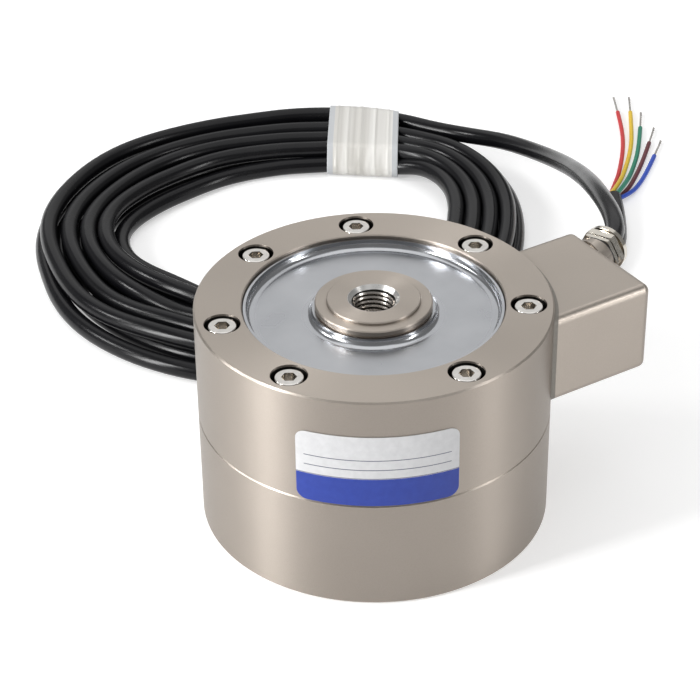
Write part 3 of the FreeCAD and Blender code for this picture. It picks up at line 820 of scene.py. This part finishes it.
def dullPlastic(name):
    color, roughness = dullPlastics[name]
    paint = Paint(name, color, roughness)
    grain = paint.noise(700, 3)
    paint.rough(paint.spread(grain, roughness - 0.08, roughness + 0.1))
    paint.color(paint.ramp(grain, (0.2, [value * 0.8 for value in color]), (0.8, color)))
    paint.bump(grain, 0.12, 0.00004)
    return paint.material


# Clear film over black strands: milky bands across it, greyer at its two cut ends
film = {
    "bands": ((0.32, (0.50, 0.485, 0.45)), (0.5, (0.63, 0.615, 0.58)), (0.66, (0.74, 0.73, 0.70))),
    "bandScale": 230,
    "upShare": 0.15,
    "margin": (0.50, 0.515, 0.53),
    "marginFrom": 11.3,
    "roughness": (0.25, 0.42),
}


def tapeFilm():
    paint = Paint("tapeFilm", (0.80, 0.79, 0.75), 0.32)
    near = paint.vector("SUBTRACT", paint.coords, tieMiddle * mm)
    along = paint.vector("DOT_PRODUCT", near, polar(1, tie["heading"]), output="Value")
    wound = paint.node("CombineXYZ")
    paint.link(along, wound.inputs["X"])
    paint.link(paint.math("MULTIPLY", paint.axes()["Z"], film["upShare"]), wound.inputs["Y"])
    bands = paint.noise(film["bandScale"], 3, wound.outputs["Vector"], 0.3)
    margin = paint.math("GREATER_THAN", paint.math("ABSOLUTE", along), film["marginFrom"] * mm)
    paint.color(paint.mix(margin, paint.ramp(bands, *film["bands"]), film["margin"]))
    paint.rough(paint.spread(bands, *film["roughness"]))
    paint.bump(bands, 0.25, 0.0003)
    return paint.material


# Label: a white field with plain rules over a blue one; heights in millimetres
label = {
    "middle": -121.5,
    "blueBelow": 44.6,
    "seam": (44.7, 44.9),
    "rules": (47.6, 50.8),
    "ruleWidth": 0.25,
    "ruleReach": 0.40,
    "whiteLow": (0.64, 0.64, 0.65),
    "whiteHigh": (0.74, 0.74, 0.75),
    "blueLow": (0.010, 0.035, 0.30),
    "blueHigh": (0.016, 0.05, 0.36),
    "ink": (0.06, 0.07, 0.12),
}


def labelFilm():
    paint = Paint("labelFilm", (0.82, 0.83, 0.86), 0.38)
    x, y, z = paint.axes()
    across = paint.math("SUBTRACT", paint.math("ARCTAN2", y, x), math.radians(label["middle"]))

    def band(value, low, high):
        above = paint.math("GREATER_THAN", value, low)
        return paint.math("MULTIPLY", above, paint.math("LESS_THAN", value, high))

    low, high = label["seam"]
    ink = band(z, low * mm, high * mm)
    for height in label["rules"]:
        rule = paint.math("MULTIPLY", band(z, height * mm, (height + label["ruleWidth"]) * mm),
                          band(across, -label["ruleReach"], label["ruleReach"]))
        ink = paint.math("MAXIMUM", ink, rule)
    frost = paint.noise(500, 3)
    white = paint.ramp(frost, (0.2, label["whiteLow"]), (0.8, label["whiteHigh"]))
    blue = paint.ramp(frost, (0.2, label["blueLow"]), (0.8, label["blueHigh"]))
    lower = paint.math("LESS_THAN", z, label["blueBelow"] * mm)
    paint.color(paint.mix(ink, paint.mix(lower, white, blue), label["ink"]))
    paint.bump(frost, 0.05, 0.00002)
    return paint.material


def dress(material, *names):
    for name in names:
        piece = nodes[name] if isinstance(name, str) else name
        piece.data.materials.clear()
        piece.data.materials.append(material)


tinned = brightMetal("tinnedCopper")
dress(cellSteel(), "mounting_base", "spring_element", "junction_box", "box_cover")
dress(brightMetal("threadSteel"), loadThread)
dress(diaphragmSteel(), "upper_diaphragm", "lower_diaphragm")
dress(screwMetal(), capScrews, "body_screws", "box_screws", "cover_screws")
dress(brightMetal("glandNickel"), "gland_body", "gland_nut")
dress(dullPlastic("blackRubber"), "gland_seal", "gland_washer", "wire_grommet")
dress(dullPlastic("gasketGrey"), "box_gasket")
dress(tinned, "terminal_posts", "gauge_wires")
dress(jacketBlack(), cableCord, "cable_lead", "cable_coil", "cable_tail", "inner_cores")
dress(tapeFilm(), tapeBand, "coil_tie")
dress(labelFilm(), "rating_label")
dress(dullPlastic("boardGreen"), "terminal_board")
dress(dullPlastic("gaugeFoil"), "strain_gauges")
for colour, (core, tip) in coreObjects.items():
    dress(corePlastic(colour), core, "core_" + colour)
    dress(tinned, tip, "conductor_" + colour)
print("stage: materials")

# Studio: a pale floor, two wide soft panels and three small ones, in metres and watts
studio = {
    "floorSize": 3,
    "floorLow": (0.74, 0.74, 0.74),
    "floorHigh": (0.76, 0.76, 0.76),
    "floorGlow": 0.42,  # for what the camera and mirrors see alone
    "world": 0.25,
    # place, target, size, power
    "lights": {
        "skyPanel": ((0.1, 0.1, 1.6), (0.05, 0.05, 0), (1.7, 1.7), 9),
        "backPanel": ((0.9, 1.4, 1.25), (0.05, 0.05, 0.03), (2.6, 1.6), 8.5),
        "leftStrip": ((-1.15, 0.13, 0.5), (0, 0, 0.04), (0.2, 0.8), 15),
        "rightStrip": ((0.75, -0.95, 0.4), (0, 0, 0.04), (0.12, 0.7), 4.5),
        "coilSpark": ((-1.02, 0.78, 0.83), (0.06, 0.15, 0), (0.26, 0.26), 5),
    },
}


def makeFloor():
    bm = bmesh.new()
    bmesh.ops.create_grid(bm, x_segments=1, y_segments=1, size=studio["floorSize"])
    floor = bpy.data.objects.new("studioFloor", meshFrom(bm, "studioFloor", smooth=False))
    bpy.context.scene.collection.objects.link(floor)
    paint = Paint("studioFloor", (0.75, 0.75, 0.75), 0.6, Specular_IOR_Level=0.2)
    paint.color(paint.ramp(paint.noise(3, 2), (0.3, studio["floorLow"]), (0.7, studio["floorHigh"])))
    seen = paint.node("LightPath").outputs
    rays = paint.math("ADD", seen["Is Camera Ray"], seen["Is Glossy Ray"])
    rays = paint.math("MINIMUM", paint.math("ADD", rays, seen["Is Transmission Ray"]), 1.0)
    glow = paint.math("MULTIPLY", rays, studio["floorGlow"])
    paint.link(glow, paint.shader.inputs["Emission Strength"])
    paint.shader.inputs["Emission Color"].default_value = (1, 1, 1, 1)
    floor.data.materials.append(paint.material)


def makeLight(name, place, target, size, power):
    data = bpy.data.lights.new(name, "AREA")
    data.shape = "RECTANGLE"
    data.size, data.size_y = size
    data.energy = power
    light = bpy.data.objects.new(name, data)
    aim = (Vector(target) - Vector(place)).to_track_quat("-Z", "Y").to_matrix().to_4x4()
    light.matrix_world = Matrix.Translation(place) @ aim
    bpy.context.scene.collection.objects.link(light)


makeFloor()
for name, settings in studio["lights"].items():
    makeLight(name, *settings)
world = bpy.data.worlds.new("studioWorld")
world.use_nodes = True
world.node_tree.nodes["Background"].inputs["Color"].default_value = (1, 1, 1, 1)
world.node_tree.nodes["Background"].inputs["Strength"].default_value = studio["world"]
bpy.context.scene.world = world
bpy.context.scene.view_settings.view_transform = "Standard"
print("stage: studio")
